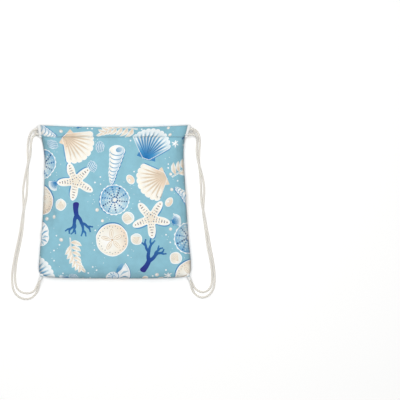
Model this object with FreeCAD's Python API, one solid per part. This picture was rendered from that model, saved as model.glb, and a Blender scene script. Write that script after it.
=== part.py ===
import FreeCAD, Part

import math
import os

# A drawstring backpack with two cord straps, lying on its back, in millimetres.
# X runs across the bag, +Y towards its mouth and +Z up out of the front panel. The origin is under the
# middle of the bag on the surface that it rests on.
# Front and back panel meet along a seam in one level plane and belly out on both sides of it. Each panel's
# top edge is folded into a flat tunnel, the casing. Each drawstring starts in the tab at a bottom corner,
# runs up beside the bag, through the front casing, round the far end, back through the back casing and
# down to the same tab, so that its two strands make one shoulder strap.

Vector = FreeCAD.Vector

# Bag outline
BOTTOM_Y = -189.0           # bottom seam
MOUTH_Y = 194.0             # folded top edge of both casings
CASING_DEPTH = 30.0         # height of a casing, from its seam to the folded edge
WAIST_HALF = 173.8          # half width where the sides pull in most
WAIST_Y = 110.0
FOOT_HALF = 189.5           # half width at the widest place, above the bottom corners
FOOT_Y = -165.0
CASING_FLARE = 6.7          # how far the sides spread again up to the casings
CORNER_R = 20.0             # rounding of the bottom corners
FABRIC = 1.2

# Heights
SEAM_Z = 13.0
FRONT_RISE = 37.0           # crown of the front panel over the seam plane
BACK_DROP = 13.2            # the back panel's drop below it, just enough to be flattened at the surface
FALL_Y = -10.0              # from here both panels flatten towards the casings
FRONT_FULLNESS = 1.9        # how boxy a panel's section is: higher is flatter with a steeper rim
BACK_FULLNESS = 6.0
MOUTH_FULLNESS = 8.0
FRONT_CASING_Z = (16.0, 24.0)
BACK_CASING_Z = (2.0, 10.0)
CASING_WALL = 1.0
CASING_EDGE_R = 1.5
CASING_HALF = 185.0         # half length of the printed part of a casing
HEM = 6.0                   # white hem at each end of a casing

# Small parts
SEAM_ALLOWANCE = 8.0        # width of the turned-in seam edges
SEAM_THICK = 2.0
TACK = (6.0, 3.0)           # bar tack where a side seam ends at the mouth: width and depth
STITCH = (3.0, 0.6, 0.4)    # one stitch: length, width, height
STITCH_PITCH = 4.0
STITCH_INSET = 3.0          # stitching line, in from the casing's lower edge

# Corner tabs: a folded tape sleeve that holds both ends of a cord, one above the other
TAB_ROOT = (180.5, -176.5)
TAB_TIP = (187.1, -192.5)
TAB_WALL = 1.0
TAB_CLEARANCE = 0.3
TAB_TONGUE = 12.0           # how far the flat tape reaches into the corner seam
TAB_GRIP = 8.0              # length of cord held in the sleeve

# Cords
CORD_D = 5.0
FLOOR = 2.6                 # centre height of a cord that lies on the surface
TIER = 2.7                  # a strand's offset from the seam plane inside a tab
BIGHT_SET = 2.5             # the far turn starts this much before the end of the hem
ENTRY_SET = 6.5             # a strand bends into its casing this much beyond the hem
ARC_SHARE = 0.45            # share of the shorter run that an arc may take up
OVER = 10.6                 # centre height where one strand passes over the other

CASING_LOW_Y = MOUTH_Y - CASING_DEPTH
TUNNEL_END = CASING_HALF + HEM
FRONT_TUNNEL_Z = sum(FRONT_CASING_Z) / 2
BACK_TUNNEL_Z = sum(BACK_CASING_Z) / 2
TUNNEL_Y = (170.5, 184.0)   # the two strands side by side in a casing

PARTS = {}


def half_width(y, inset=0.0):
    """Half width of the bag at a height y, with rounded bottom corners."""
    if y < WAIST_Y:
        share = min((WAIST_Y - y) / (WAIST_Y - FOOT_Y), 1.0)
        width = WAIST_HALF + (FOOT_HALF - WAIST_HALF) * (1 - math.cos(math.pi * share)) / 2
    else:
        width = WAIST_HALF + CASING_FLARE * ((y - WAIST_Y) / (CASING_LOW_Y - WAIST_Y)) ** 2
    into_corner = BOTTOM_Y + CORNER_R - y
    if into_corner > 0:
        width -= CORNER_R - math.sqrt(max(CORNER_R ** 2 - into_corner ** 2, 0.0))
    return width - inset


def ease(t):
    """0 to 1 with level ends."""
    t = min(max(t, 0.0), 1.0)
    return t * t * (3 - 2 * t)


def swell(angle, fullness):
    """How far a panel has risen over its seam: steep at the seam and flat at the crown."""
    return 1 - (1 - math.sin(angle)) ** fullness


def panel_grid(side, crown, edge_drop, fullness, inset):
    """Points of one panel's surface, rows from the bottom seam to the casing."""
    rows, columns = 16, 17
    top_y = CASING_LOW_Y + CASING_WALL
    low_y = BOTTOM_Y + inset
    grid = []
    for i in range(rows):
        t = i / (rows - 1)
        y = low_y + (top_y - low_y) * (1 - math.cos(math.pi * t / 2))
        width = half_width(max(y - inset, BOTTOM_Y), inset)
        rise = swell(min(math.pi * t * 0.9, math.pi / 2), 1.8)
        fall = ease((y - FALL_Y) / (top_y - FALL_Y))
        height = rise * (crown - (crown - edge_drop) * fall) - inset * min(t * 6, 1.0)
        power = fullness + (MOUTH_FULLNESS - fullness) * fall
        row = []
        for j in range(columns):
            angle = math.pi * j / (columns - 1)
            lift = height * swell(angle, power) if 0 < j < columns - 1 else 0.0
            row.append(Vector(-width * math.cos(angle), y, SEAM_Z + side * max(lift, 0.0)))
        grid.append(row)
    return grid


def surface(grid):
    patch = Part.BSplineSurface()
    patch.interpolate(grid)
    return patch


def shell_solid(outer, inner):
    """A closed wall between two surfaces that have the same layout."""
    faces = [outer.toShape(), inner.toShape()]
    u0, u1, v0, v1 = outer.bounds()
    a0, a1, b0, b1 = inner.bounds()
    pairs = (
        (outer.uIso(u0), inner.uIso(a0)),
        (outer.uIso(u1), inner.uIso(a1)),
        (outer.vIso(v0), inner.vIso(b0)),
        (outer.vIso(v1), inner.vIso(b1)),
    )
    for one, other in pairs:
        faces.append(Part.makeRuledSurface(one.toShape(), other.toShape()))
    shell = Part.makeShell(faces)
    shell.sewShape()
    solid = Part.makeSolid(shell)
    if solid.Volume < 0:
        solid.reverse()
    return solid


def panel(side, crown, edge_drop, fullness):
    outer = surface(panel_grid(side, crown, edge_drop, fullness, 0.0))
    inner = surface(panel_grid(side, crown, edge_drop, fullness, FABRIC))
    return shell_solid(outer, inner)


def make_panels():
    PARTS["front_panel"] = panel(1, FRONT_RISE, FRONT_CASING_Z[1] - SEAM_Z, FRONT_FULLNESS)
    back = panel(-1, BACK_DROP, SEAM_Z - BACK_CASING_Z[0], BACK_FULLNESS)
    below = Part.makeBox(600, 600, 10, Vector(-300, -300, -10))
    PARTS["back_panel"] = back.cut(below)


def rounded_profile(low, high, radius, x):
    """A rounded rectangle in a plane of constant x; low and high are (y, z) corners."""
    box = Part.makeBox(1, high[0] - low[0], high[1] - low[1], Vector(x, low[0], low[1]))
    along_x = [e for e in box.Edges if abs(e.Vertexes[0].X - e.Vertexes[-1].X) > 0.5]
    rounded = box.makeFillet(radius, along_x)
    ends = [f for f in rounded.Faces if abs(f.CenterOfMass.x - x) < 1e-6]
    return ends[0]


def tunnel(z_range, x_from, x_to):
    """A flat fabric tunnel along X, open at both ends."""
    outside = rounded_profile((CASING_LOW_Y, z_range[0]), (MOUTH_Y, z_range[1]), CASING_EDGE_R, x_from)
    inside = rounded_profile(
        (CASING_LOW_Y + CASING_WALL, z_range[0] + CASING_WALL),
        (MOUTH_Y - CASING_WALL, z_range[1] - CASING_WALL),
        CASING_EDGE_R - CASING_WALL,
        x_from,
    )
    length = Vector(x_to - x_from, 0, 0)
    return outside.extrude(length).cut(inside.extrude(length))


def stitch_row(z):
    """A row of stitches with its underside at z, along the lower edge of a casing."""
    long, wide, high = STITCH
    count = int(2 * (CASING_HALF - 5) / STITCH_PITCH)
    first = -(count - 1) * STITCH_PITCH / 2 - long / 2
    y = CASING_LOW_Y + STITCH_INSET
    row = [Part.makeBox(long, wide, high, Vector(first + i * STITCH_PITCH, y, z)) for i in range(count)]
    return Part.makeCompound(row)


def make_casings():
    for name, z_range in (("front", FRONT_CASING_Z), ("back", BACK_CASING_Z)):
        PARTS[f"{name}_casing"] = tunnel(z_range, -CASING_HALF, CASING_HALF)
        PARTS[f"{name}_hem_left"] = tunnel(z_range, -TUNNEL_END, -CASING_HALF)
        PARTS[f"{name}_hem_right"] = tunnel(z_range, CASING_HALF, TUNNEL_END)
    PARTS["front_casing_stitching"] = stitch_row(FRONT_CASING_Z[1])
    PARTS["back_casing_stitching"] = stitch_row(BACK_CASING_Z[0] - STITCH[2])


def strip(points, thick):
    """A flat strip of a given outline, centred on the seam plane."""
    corners = [Vector(x, y, SEAM_Z - thick / 2) for x, y in points]
    return Part.Face(Part.makePolygon(corners + corners[:1])).extrude(Vector(0, 0, thick))


def make_seams():
    """The turned-in seam edges inside the bag, and the bar tacks that end the side seams."""
    steps = 12
    low, high = BOTTOM_Y + CORNER_R, CASING_LOW_Y - 2
    heights = [low + (high - low) * i / steps for i in range(steps + 1)]
    reach = FABRIC - 0.4
    for name, side in (("left", -1), ("right", 1)):
        outer = [(side * half_width(y, reach), y) for y in heights]
        inner = [(side * half_width(y, reach + SEAM_ALLOWANCE), y) for y in reversed(heights)]
        PARTS[f"{name}_side_seam"] = strip(outer + inner, SEAM_THICK)
        edge = side * half_width(CASING_LOW_Y - TACK[1])
        low_x = min(edge, edge - side * TACK[0])
        low_z, high_z = BACK_CASING_Z[1], FRONT_CASING_Z[0]
        PARTS[f"{name}_mouth_tack"] = Part.makeBox(
            TACK[0], TACK[1], high_z - low_z, Vector(low_x, CASING_LOW_Y - 1, low_z)
        )
    half = half_width(BOTTOM_Y + CORNER_R) - 2 * CORNER_R
    y0 = BOTTOM_Y + reach
    bottom = [(-half, y0), (half, y0), (half, y0 + SEAM_ALLOWANCE), (-half, y0 + SEAM_ALLOWANCE)]
    PARTS["bottom_seam"] = strip(bottom, SEAM_THICK)


def tab_frame(side):
    """Tip of a corner tab and the unit direction that it points in."""
    tip = Vector(side * TAB_TIP[0], TAB_TIP[1], SEAM_Z)
    along = tip - Vector(side * TAB_ROOT[0], TAB_ROOT[1], SEAM_Z)
    length = along.Length
    return tip, along.normalize(), length


def tab_block(side, start, end, half_wide, half_high):
    """A block in the tab's direction, from start to end measured back from the tip."""
    tip, along, _ = tab_frame(side)
    across = Vector(-along.y, along.x, 0)
    origin = tip - along * end
    corners = [origin + across * half_wide, origin - across * half_wide]
    corners += [c + along * (end - start) for c in reversed(corners)]
    lowered = [c - Vector(0, 0, half_high) for c in corners]
    return Part.Face(Part.makePolygon(lowered + lowered[:1])).extrude(Vector(0, 0, 2 * half_high))


def make_tabs():
    hole_wide = CORD_D / 2 + TAB_CLEARANCE
    hole_high = TIER + CORD_D / 2 + TAB_CLEARANCE
    for name, side in (("left", -1), ("right", 1)):
        length = tab_frame(side)[2]
        sleeve = tab_block(side, 0, length, hole_wide + TAB_WALL, hole_high + TAB_WALL)
        sleeve = sleeve.makeFillet(0.9, [e for e in sleeve.Edges if e.Length > length - 0.01])
        hole = tab_block(side, -1, TAB_GRIP + 1, hole_wide, hole_high)
        tongue = tab_block(side, length - 1, length + TAB_TONGUE, hole_wide + TAB_WALL, SEAM_THICK / 2)
        PARTS[f"{name}_tab"] = sleeve.cut(hole).fuse(tongue).removeSplitter()
        top = SEAM_Z + hole_high + TAB_WALL
        tack = tab_block(side, TAB_GRIP + 2.5, TAB_GRIP + 4.5, hole_wide, STITCH[2])
        tack.translate(Vector(0, 0, top - SEAM_Z + STITCH[2]))
        PARTS[f"{name}_tab_tack"] = tack


# Routes, as the corners of straight runs, from the tab to the casing. The upper strand of a tab lies
# outermost in the bottom loop. Where the strands cross, one of them makes a long low hump.
LEFT_OUTER = [
    (-190.2, -204.5, 12.0), (-193.0, -218.5, 5.4), (-199.0, -229.0, FLOOR), (-209.5, -238.5, FLOOR),
    (-224.5, -241.5, FLOOR), (-241.0, -236.0, FLOOR), (-252.5, -223.0, FLOOR), (-257.5, -205.0, FLOOR),
    (-257.8, -178.0, FLOOR), (-253.0, -147.5, FLOOR), (-247.5, -119.0, FLOOR), (-240.5, -89.5, FLOOR),
    (-235.8, -62.0, FLOOR), (-232.2, -40.0, 4.2), (-229.3, -23.5, OVER), (-225.2, -3.5, OVER),
    (-221.6, 13.5, 4.2), (-219.6, 38.0, FLOOR), (-219.0, 67.0, FLOOR), (-217.6, 98.0, FLOOR),
    (-218.8, 129.0, FLOOR), (-218.0, 149.5, 3.6), (-214.0, 166.0, 8.5), (-206.5, 178.5, 15.0),
]
LEFT_INNER = [
    (-193.6, -204.0, 6.2), (-200.0, -217.6, FLOOR), (-209.5, -224.6, FLOOR), (-221.5, -226.8, FLOOR),
    (-235.0, -223.4, FLOOR), (-245.5, -214.0, FLOOR), (-250.0, -198.0, FLOOR), (-250.0, -172.0, FLOOR),
    (-246.2, -143.0, FLOOR), (-240.2, -114.5, FLOOR), (-233.6, -85.0, FLOOR), (-230.4, -55.0, FLOOR),
    (-228.2, -26.0, FLOOR), (-229.4, 4.0, FLOOR), (-230.6, 31.0, FLOOR), (-226.8, 57.5, FLOOR),
    (-222.6, 76.0, 4.2), (-218.9, 91.0, OVER), (-214.2, 110.0, OVER), (-210.6, 128.0, 4.2),
    (-210.6, 145.0, FLOOR), (-209.0, 157.5, 3.0), (-204.8, 166.2, 4.4),
]
RIGHT_OUTER = [
    (189.8, -204.0, 12.0), (192.0, -216.5, 5.4), (198.0, -226.5, FLOOR), (207.5, -234.6, FLOOR),
    (220.5, -237.2, FLOOR), (233.6, -231.6, FLOOR), (243.8, -219.6, FLOOR), (248.6, -203.0, FLOOR),
    (248.4, -177.0, FLOOR), (245.0, -147.0, FLOOR), (239.0, -118.5, FLOOR), (234.2, -91.0, FLOOR),
    (229.0, -64.0, FLOOR), (224.6, -43.0, 4.2), (221.2, -26.0, OVER), (217.0, -5.5, OVER),
    (215.0, 13.5, 4.2), (214.2, 38.0, FLOOR), (212.6, 67.0, FLOOR), (209.2, 98.0, FLOOR),
    (209.8, 128.0, FLOOR), (211.8, 147.0, FLOOR), (210.8, 164.0, 2.8), (206.0, 177.4, 4.0),
]
RIGHT_INNER = [
    (192.8, -202.5, 6.2), (198.8, -213.5, FLOOR), (207.6, -220.4, FLOOR), (219.0, -223.8, FLOOR),
    (230.5, -220.4, FLOOR), (239.6, -210.0, FLOOR), (242.6, -194.5, FLOOR), (241.8, -169.0, FLOOR),
    (237.6, -141.0, FLOOR), (231.2, -113.0, FLOOR), (227.6, -84.0, FLOOR), (224.0, -55.5, FLOOR),
    (219.6, -27.0, FLOOR), (220.6, 3.0, FLOOR), (223.2, 31.0, FLOOR), (220.2, 57.5, FLOOR),
    (214.8, 75.5, 4.2), (210.6, 90.0, OVER), (206.2, 109.0, OVER), (203.6, 127.0, 4.2),
    (203.8, 142.5, 3.6), (205.2, 154.5, 6.8), (205.2, 164.0, 13.4),
]


def tab_points(side, tier):
    """The cord's end inside the sleeve and its first corner outside, for one of the two tiers."""
    tip, along, _ = tab_frame(side)
    rise = Vector(0, 0, tier)
    return [tip - along * TAB_GRIP + rise, tip + along * 3.0 + rise]


def bight(side, front_y, back_y):
    """Corners of the turn from the front casing to the back casing beyond the far hem."""
    front = Vector(0, front_y, FRONT_TUNNEL_Z)
    back = Vector(0, back_y, BACK_TUNNEL_Z)
    span = (back - front).Length
    step = (back - front) / span
    radius = span / 2
    cut = radius * math.tan(math.pi / 8)
    start = TUNNEL_END - BIGHT_SET
    places = ((start + cut, 0), (start + radius, radius - cut), (start + radius, radius + cut), (start + cut, span))
    return [front + step * s + Vector(side * x, 0, 0) for x, s in places]


def route(side, outer, inner, outer_front):
    """All corners of one cord, from tab to tab."""
    first = tab_points(side, TIER) + [Vector(*p) for p in outer]
    last = [Vector(*p) for p in reversed(inner)] + tab_points(side, -TIER)[::-1]
    low_y, high_y = TUNNEL_Y
    entry = side * (TUNNEL_END + ENTRY_SET)
    if outer_front:
        turn = bight(-side, high_y, low_y)
        entries = (Vector(entry, high_y, FRONT_TUNNEL_Z), Vector(entry, low_y, BACK_TUNNEL_Z))
    else:
        turn = bight(-side, low_y, high_y)[::-1]
        entries = (Vector(entry, high_y, BACK_TUNNEL_Z), Vector(entry, low_y, FRONT_TUNNEL_Z))
    return first + [entries[0]] + turn + [entries[1]] + last


def corner_arc(before, corner, after):
    """Ends and middle of the arc that rounds one corner, with its radius."""
    back, ahead = before - corner, after - corner
    turn = math.pi - back.getAngle(ahead)
    radius = ARC_SHARE * min(back.Length, ahead.Length) / math.tan(turn / 2)
    reach = ARC_SHARE * min(back.Length, ahead.Length)
    back, ahead = back.normalize(), ahead.normalize()
    start, end = corner + back * reach, corner + ahead * reach
    middle_way = (back + ahead).normalize()
    middle = corner + middle_way * (radius / math.cos(turn / 2) - radius)
    return start, middle, end, radius


def tube(corners, name):
    """A cord's solid: straight runs joined by tangent arcs."""
    edges, radii = [], []
    here = corners[0]
    for i in range(1, len(corners) - 1):
        start, middle, end, radius = corner_arc(corners[i - 1], corners[i], corners[i + 1])
        edges.append(Part.LineSegment(here, start).toShape())
        edges.append(Part.Arc(start, middle, end).toShape())
        radii.append(radius)
        here = end
    edges.append(Part.LineSegment(here, corners[-1]).toShape())
    path = Part.Wire(edges)
    heading = (corners[1] - corners[0]).normalize()
    ring = Part.Wire([Part.Circle(corners[0], heading, CORD_D / 2).toShape()])
    solid = path.makePipeShell([ring], True, True)
    expected = math.pi * CORD_D ** 2 / 4 * path.Length
    print(f"{name}: length {path.Length:.0f}, volume {solid.Volume:.0f} of {expected:.0f},",
          f"{len(radii)} arcs, radii {', '.join(f'{r:.0f}' for r in radii)}")
    return solid


def make_cords():
    PARTS["left_drawstring"] = tube(route(-1, LEFT_OUTER, LEFT_INNER, True), "left_drawstring")
    PARTS["right_drawstring"] = tube(route(1, RIGHT_OUTER, RIGHT_INNER, False), "right_drawstring")


def main():
    os.makedirs("parts", exist_ok=True)
    make_panels()
    make_casings()
    make_seams()
    make_tabs()
    make_cords()
    for name, shape in PARTS.items():
        box = shape.optimalBoundingBox()
        print(f"{name}: {len(shape.Solids)} solid(s), valid {shape.isValid()}, {shape.Volume:.0f} mm3,",
              f"x {box.XMin:.1f}..{box.XMax:.1f} y {box.YMin:.1f}..{box.YMax:.1f} z {box.ZMin:.1f}..{box.ZMax:.1f}")
        shape.exportStep(f"parts/{name}.step")


main()
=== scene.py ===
import math
import random

import bpy
import numpy as np
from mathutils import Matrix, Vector, noise
from mathutils.geometry import delaunay_2d_cdt


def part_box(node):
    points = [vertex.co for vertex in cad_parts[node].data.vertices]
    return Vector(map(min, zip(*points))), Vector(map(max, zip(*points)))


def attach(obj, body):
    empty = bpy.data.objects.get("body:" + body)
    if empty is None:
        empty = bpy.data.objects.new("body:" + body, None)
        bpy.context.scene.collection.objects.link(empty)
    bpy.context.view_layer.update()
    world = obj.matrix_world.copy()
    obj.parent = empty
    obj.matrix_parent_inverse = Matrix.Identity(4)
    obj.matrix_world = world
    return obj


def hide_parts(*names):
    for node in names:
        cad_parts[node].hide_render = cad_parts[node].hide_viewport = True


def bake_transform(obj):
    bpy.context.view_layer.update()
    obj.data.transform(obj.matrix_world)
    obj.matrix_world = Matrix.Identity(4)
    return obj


# The looks of a drawstring backpack that lies on its back: printed cloth, twisted cotton cords, white tape.
# Lengths are in millimetres in the CAD's frame, unless a comment says metres, and become metres where a
# mesh is made.

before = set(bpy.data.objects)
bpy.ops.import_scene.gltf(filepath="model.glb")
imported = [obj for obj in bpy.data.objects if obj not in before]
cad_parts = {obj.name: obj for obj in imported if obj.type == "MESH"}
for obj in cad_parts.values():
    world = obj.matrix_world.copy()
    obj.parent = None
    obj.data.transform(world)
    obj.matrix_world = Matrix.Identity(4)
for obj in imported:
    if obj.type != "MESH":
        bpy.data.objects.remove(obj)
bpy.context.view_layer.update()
MM = 0.001


def span(node):
    """A CAD node's box in millimetres, as two numpy corners."""
    low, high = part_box(node)
    return np.array(low) / MM, np.array(high) / MM


PANEL_LOW, PANEL_HIGH = span("front_panel")
CASING_LOW, CASING_HIGH = span("front_casing")
BACK_CASING_LOW, BACK_CASING_HIGH = span("back_casing")
HEM_HIGH = span("front_hem_right")[1]

SEAM_Z = PANEL_LOW[2]
CROWN = PANEL_HIGH[2] - SEAM_Z
FOOT_Y = PANEL_LOW[1]
FOLD_Y = CASING_LOW[1]
MOUTH_Y = CASING_HIGH[1]
FOOT_HALF = PANEL_HIGH[0]
TUNNEL_Z = {
    "front": (CASING_LOW[2] + CASING_HIGH[2]) / 2,
    "back": (BACK_CASING_LOW[2] + BACK_CASING_HIGH[2]) / 2,
}
CORD_D = 5.0

# Cloth as it is cut, before it is sewn
CUT_HALF = 190.5
CUT_TAPER = 5.0             # the pattern is this much narrower at the mouth, each side
CUT_CORNER = 22.0
CUT_LOW = -196.0            # the bottom edge, which filling pulls up to the bottom seam
CLOTH = 0.5                 # thickness of the cloth
TAPE = 0.9                  # thickness of hems and seam edges
GRID = 64                   # cells of the simulated cloth, each way
PANEL_SPACING = 4.5         # of the printed mesh's points between the print's outlines
CASING_SPACING = 3.6

# Small asymmetries of a bag that was laid down by hand: where each side seam lies at a few heights
LEFT_SIDE = (
    (-150.0, -189.5), (-131.0, -188.0), (-56.0, -182.0), (19.0, -178.0), (94.0, -175.5), (132.0, -178.0),
    (164.0, -184.0),
)
RIGHT_SIDE = (
    (-145.0, 189.3), (-93.0, 183.8), (-31.0, 179.5), (31.0, 175.8), (94.0, 172.0), (132.0, 171.0),
    (164.0, 175.0),
)
BOTTOM_ROUND = 3.5          # how much higher the bottom edge lies where its corners begin
MOUTH_SAG = 5.0             # how far the folded edge sags between its corners
SIDES_FROM = -160.0         # above this height the seams start to follow the lines above
SIDES_FADE = 20.0

random.seed(7)


# ---------------------------------------------------------------- camera, light and floor

CAMERA_PLACE = (0.212, 0.007, 6.0)      # metres; it looks straight down
CAMERA_LENS = 216
SENSOR = 36
WORLD_LIGHT = (0.95, 0.975, 1.0, 1)
WORLD_STRENGTH = 0.16
FLOOR_HALF = 8                          # metres
# Name, place, target and size in metres, power in watts, colour
LIGHTS = (
    ("overhead", (0.2, 0.1, 4.2), (0.2, 0, 0), 3.0, 156, (1.0, 0.995, 0.985)),
    ("key", (-0.9, 1.3, 2.2), (0, 0, 0), 1.0, 13, (1.0, 0.985, 0.96)),
)


def make_stage():
    scene = bpy.context.scene
    scene.view_settings.view_transform = "Standard"
    camera = bpy.data.objects.new("camera", bpy.data.cameras.new("camera"))
    scene.collection.objects.link(camera)
    scene.camera = camera
    camera.location = CAMERA_PLACE
    camera.rotation_euler = (0, 0, 0)
    camera.data.lens = CAMERA_LENS
    camera.data.sensor_width = SENSOR
    camera.data.clip_end = 60

    world = bpy.data.worlds.new("studio")
    scene.world = world
    world.use_nodes = True
    background = world.node_tree.nodes["Background"]
    background.inputs["Color"].default_value = WORLD_LIGHT
    background.inputs["Strength"].default_value = WORLD_STRENGTH

    for name, place, target, size, power, colour in LIGHTS:
        light = bpy.data.objects.new(name, bpy.data.lights.new(name, "AREA"))
        light.data.shape = "SQUARE"
        light.data.size = size
        light.data.energy = power
        light.data.color = colour
        light.location = place
        light.rotation_euler = (Vector(target) - Vector(place)).to_track_quat("-Z", "Y").to_euler()
        scene.collection.objects.link(light)

    floor = bpy.data.objects.new("floor", bpy.data.meshes.new("floor"))
    corners = [(x * FLOOR_HALF, y * FLOOR_HALF, 0) for x, y in ((-1, -1), (1, -1), (1, 1), (-1, 1))]
    floor.data.from_pydata(corners, [], [(0, 1, 2, 3)])
    scene.collection.objects.link(floor)
    white = bpy.data.materials.new("floor_white")
    white.use_nodes = True
    shader = white.node_tree.nodes["Principled BSDF"]
    shader.inputs["Base Color"].default_value = (1.0, 1.0, 1.0, 1)
    shader.inputs["Roughness"].default_value = 0.9
    floor.data.materials.append(white)


# ---------------------------------------------------------------- node materials

def srgb(red, green, blue):
    """A colour given as 0 to 255 display values, as scene-linear numbers."""
    shown = np.array([red, green, blue]) / 255
    return np.where(shown <= 0.04045, shown / 12.92, ((shown + 0.055) / 1.055) ** 2.4)


class Nodes:
    """A short way to wire up one material."""

    def __init__(self, name):
        self.material = bpy.data.materials.new(name)
        self.material.use_nodes = True
        self.tree = self.material.node_tree
        self.shader = self.tree.nodes["Principled BSDF"]

    def add(self, kind, inputs=None, **settings):
        node = self.tree.nodes.new("ShaderNode" + kind)
        for key, value in settings.items():
            setattr(node, key, value)
        for key, value in (inputs or {}).items():
            if isinstance(value, bpy.types.NodeSocket):
                self.tree.links.new(value, node.inputs[key])
            else:
                node.inputs[key].default_value = value
        return node

    def link(self, source, target):
        self.tree.links.new(source, target)

    def attribute(self, name, output="Vector"):
        return self.add("Attribute", attribute_name=name).outputs[output]

    def maths(self, operation, *values):
        return self.add("Math", dict(enumerate(values)), operation=operation).outputs[0]

    def noise(self, vector, scale, detail=3.0, roughness=0.5):
        inputs = {"Vector": vector, "Scale": scale, "Detail": detail, "Roughness": roughness}
        return self.add("TexNoise", inputs).outputs["Fac"]

    def remap(self, value, low, high, to_low, to_high):
        inputs = {"Value": value, "From Min": low, "From Max": high, "To Min": to_low, "To Max": to_high}
        return self.add("MapRange", inputs).outputs[0]

    def colour(self, *display):
        node = self.add("RGB")
        node.outputs[0].default_value = (*srgb(*display), 1)
        return node.outputs[0]

    def scale_colour(self, colour, factor):
        return self.add("VectorMath", {0: colour, "Scale": factor}, operation="SCALE").outputs[0]

    def wave(self, value, pitch):
        """A sine wave that crosses zero at every pitch."""
        return self.maths("SINE", self.maths("MULTIPLY", value, math.pi / pitch))

    def weave(self, flat, pitch):
        """Height of a plain weave, from 0 to 1: threads both ways that pass over and under each other."""
        parts = self.add("SeparateXYZ", {0: flat})
        across = self.wave(parts.outputs[0], pitch)
        along = self.wave(parts.outputs[1], pitch)
        checker = self.maths("MULTIPLY", across, along)
        warp = self.maths("ABSOLUTE", across)
        weft = self.maths("ABSOLUTE", along)
        over = self.remap(checker, -0.25, 0.25, 0.0, 1.0)
        mixed = self.add("Mix", {0: over, 2: warp, 3: weft}, data_type="FLOAT")
        return mixed.outputs[0]

    def bump(self, height, distance, strength, normal=None):
        inputs = {"Height": height, "Distance": distance, "Strength": strength}
        if normal is not None:
            inputs["Normal"] = normal
        return self.add("Bump", inputs).outputs["Normal"]

    def finish(self, colour, roughness, normal, sheen=0.0):
        self.link(colour, self.shader.inputs["Base Color"])
        self.link(roughness, self.shader.inputs["Roughness"])
        self.link(normal, self.shader.inputs["Normal"])
        self.shader.inputs["Specular IOR Level"].default_value = 0.25
        self.shader.inputs["Sheen Weight"].default_value = sheen
        self.shader.inputs["Sheen Roughness"].default_value = 0.5
        return self.material


def cloth_material(name, printed):
    """Woven polyester. The ink's colour is the mesh's own; without it, the cloth's pale reverse."""
    n = Nodes(name)
    flat = n.attribute("flat")
    place = n.add("TexCoord").outputs["Object"]
    weave = n.weave(flat, 0.55)
    cloudy = n.noise(flat, 0.035, 4.0, 0.6)
    grain = n.noise(flat, 0.9, 2.0)
    if printed:
        ink = n.attribute("print", "Color")
        wash = n.remap(cloudy, 0.3, 0.7, 0.93, 1.06)
    else:
        ink = n.colour(214, 226, 230)
        wash = n.remap(cloudy, 0.3, 0.7, 0.97, 1.03)
    shade = n.maths("MULTIPLY", wash, n.remap(grain, 0.2, 0.8, 0.965, 1.03))
    # Painted shade between the threads: the weave's low places are darker
    shade = n.maths("MULTIPLY", shade, n.remap(weave, 0.0, 1.0, 0.93, 1.02))
    colour = n.scale_colour(ink, shade)
    soft = n.bump(n.noise(place, 28.0, 3.0), 0.0012, 0.35)
    normal = n.bump(weave, 0.00012, 0.7, soft)
    return n.finish(colour, n.remap(grain, 0.2, 0.8, 0.72, 0.86), normal, sheen=0.15)


def tape_material(name, tint, pitch):
    """Ribbed woven tape: ribs across it, with painted shade between them, and fine threads along it."""
    n = Nodes(name)
    flat = n.attribute("flat")
    parts = n.add("SeparateXYZ", {0: flat})
    ribs = n.maths("ABSOLUTE", n.wave(parts.outputs[1], pitch))
    threads = n.maths("ABSOLUTE", n.wave(parts.outputs[0], 0.5))
    fuzz = n.noise(flat, 0.6, 3.0)
    # Painted shade between the ribs: darker where they are low, times a random fuzz
    shade = n.maths("MULTIPLY", n.remap(ribs, 0.0, 1.0, 0.86, 1.03), n.remap(fuzz, 0.2, 0.8, 0.95, 1.04))
    height = n.maths("ADD", ribs, n.maths("MULTIPLY", threads, 0.35))
    roughness = n.remap(fuzz, 0.2, 0.8, 0.75, 0.9)
    shaded = n.scale_colour(n.colour(*tint), shade)
    return n.finish(shaded, roughness, n.bump(height, 0.0003, 0.8), sheen=0.2)


def cord_material():
    """Natural cotton yarn: fibres along the lay, with painted shade in the grooves between the strands and
    a lighter colour on their crests.
    """
    n = Nodes("cotton_cord")
    flat = n.attribute("flat")
    groove = n.attribute("groove", "Fac")
    drawn_out = n.add("VectorMath", {0: flat, 1: (3.2, 0.35, 1.0)}, operation="MULTIPLY").outputs[0]
    fibre = n.noise(drawn_out, 1.0, 4.0, 0.7)
    blotch = n.noise(flat, 0.05, 3.0)
    # Painted shade and light: the ramp is darkest in the grooves between the strands and lightest on their
    # crests
    ramp = n.add("ValToRGB", {0: groove})
    stops = ramp.color_ramp.elements
    stops[0].position, stops[0].color = 0.0, (*srgb(163, 155, 141), 1)
    stops[1].position, stops[1].color = 0.75, (*srgb(241, 238, 231), 1)
    middle = stops.new(0.35)
    middle.color = (*srgb(217, 212, 202), 1)
    shade = n.maths("MULTIPLY", n.remap(fibre, 0.2, 0.8, 0.88, 1.07), n.remap(blotch, 0.3, 0.7, 0.95, 1.04))
    normal = n.bump(fibre, 0.0003, 0.6)
    roughness = n.remap(fibre, 0.2, 0.8, 0.8, 0.95)
    return n.finish(n.scale_colour(ramp.outputs[0], shade), roughness, normal, sheen=0.3)


def thread_material():
    """Polyester sewing thread with its fine twist, with painted shade in the twist's grooves."""
    n = Nodes("thread")
    flat = n.attribute("flat")
    parts = n.add("SeparateXYZ", {0: flat})
    twist = n.maths("SINE", n.maths("MULTIPLY", n.maths("ADD", parts.outputs[0], parts.outputs[1]), 9.0))
    base = n.colour(176, 208, 218)
    # Painted shade along the twist: darker in its grooves
    shade = n.remap(twist, -1.0, 1.0, 0.86, 1.05)
    roughness = n.remap(twist, -1.0, 1.0, 0.5, 0.7)
    return n.finish(n.scale_colour(base, shade), roughness, n.bump(twist, 0.0001, 0.8))


# ---------------------------------------------------------------- cords

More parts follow.
